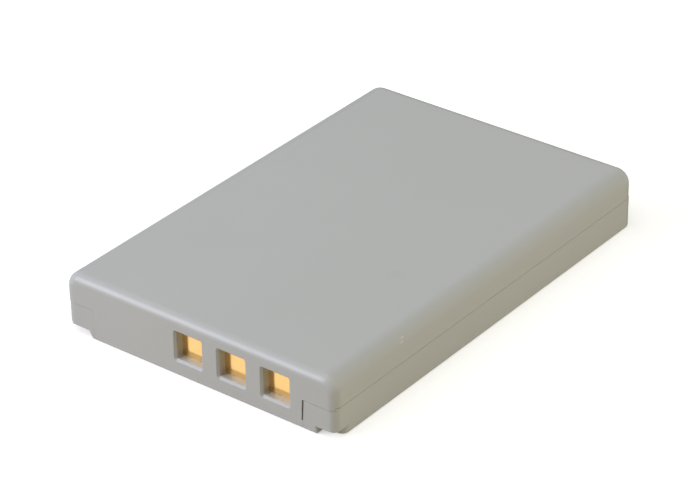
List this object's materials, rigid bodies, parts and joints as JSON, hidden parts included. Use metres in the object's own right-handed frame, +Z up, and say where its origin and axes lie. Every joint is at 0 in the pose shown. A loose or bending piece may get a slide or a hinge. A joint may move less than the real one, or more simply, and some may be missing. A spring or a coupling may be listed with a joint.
{
  "type": "camera battery",
  "caption": "Slim flat rechargeable camera battery: moulded case with soft long edges, recessed gold contacts behind windows at one end, and keying notches under that end's corners.",
  "frame": {"origin": "middle of the base face, which the pack lies on", "axes": "+X across the contact end, +Y from the contact end to the rear, +Z up from the base to the top face"},
  "size_m": [0.0352, 0.053, 0.007],
  "materials": {
    "case_plastic": "moulded, fine even texture, satin",
    "contact_gold": "gold plated, smooth",
    "board_laminate": "glass-epoxy laminate with solder mask",
    "chip_epoxy": "moulded epoxy",
    "chip_part_ceramic": "fired ceramic",
    "cell_aluminium": "drawn can, satin",
    "gasket_polypropylene": "moulded",
    "nickel_plate": "rolled nickel",
    "insulating_paper": "pressed fibre paper",
    "fuse_sheath": "film sheath",
    "tape_film": "double-sided tape",
    "foam_rubber": "closed-cell foam"
  },
  "bodies": {
    "root": {"upper_case": "case_plastic", "lower_case": "case_plastic", "positive_contact": "contact_gold", "sense_contact": "contact_gold", "negative_contact": "contact_gold", "circuit_board": "board_laminate", "switch_chip": "chip_epoxy", "control_chip": "chip_epoxy", "resistors": "chip_part_ceramic", "capacitors": "chip_part_ceramic", "thermistor": "chip_part_ceramic", "cell": "cell_aluminium", "terminal_gasket": "gasket_polypropylene", "terminal_rivet": "nickel_plate", "fill_plug": "cell_aluminium", "lid_insulator": "insulating_paper", "positive_strip": "nickel_plate", "negative_strip": "nickel_plate", "thermal_fuse": "fuse_sheath", "fuse_strip": "nickel_plate", "cell_tapes": "tape_film", "end_cushion": "foam_rubber"}
  },
  "joints": []
}
